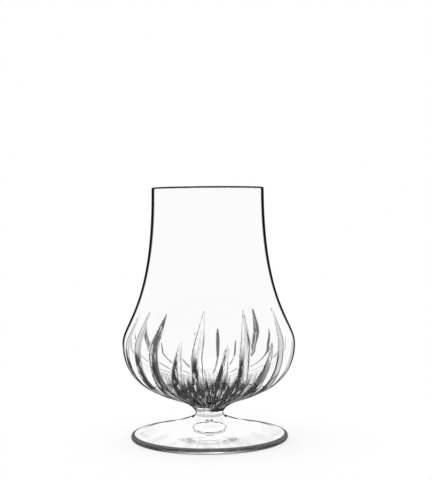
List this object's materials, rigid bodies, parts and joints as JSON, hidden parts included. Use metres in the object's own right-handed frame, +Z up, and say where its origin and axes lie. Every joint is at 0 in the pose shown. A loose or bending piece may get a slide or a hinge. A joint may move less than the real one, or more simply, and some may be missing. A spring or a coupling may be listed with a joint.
{
  "type": "stemmed tasting glass",
  "caption": "Clear stemmed tasting glass: tulip bowl with pointed flutes round its belly, short waisted stem and flat disc foot, for nosing and tasting drinks.",
  "frame": {"origin": "middle of the plane that the foot stands on", "axes": "+Z up the glass's axis to the rim, -Y the side shown in the picture, +X its right"},
  "size_m": [0.0755, 0.0756, 0.11],
  "materials": {
    "clear_glass": "polished clear crystal"
  },
  "bodies": {
    "root": {"bowl": "clear_glass", "stem": "clear_glass", "foot": "clear_glass"}
  },
  "joints": []
}
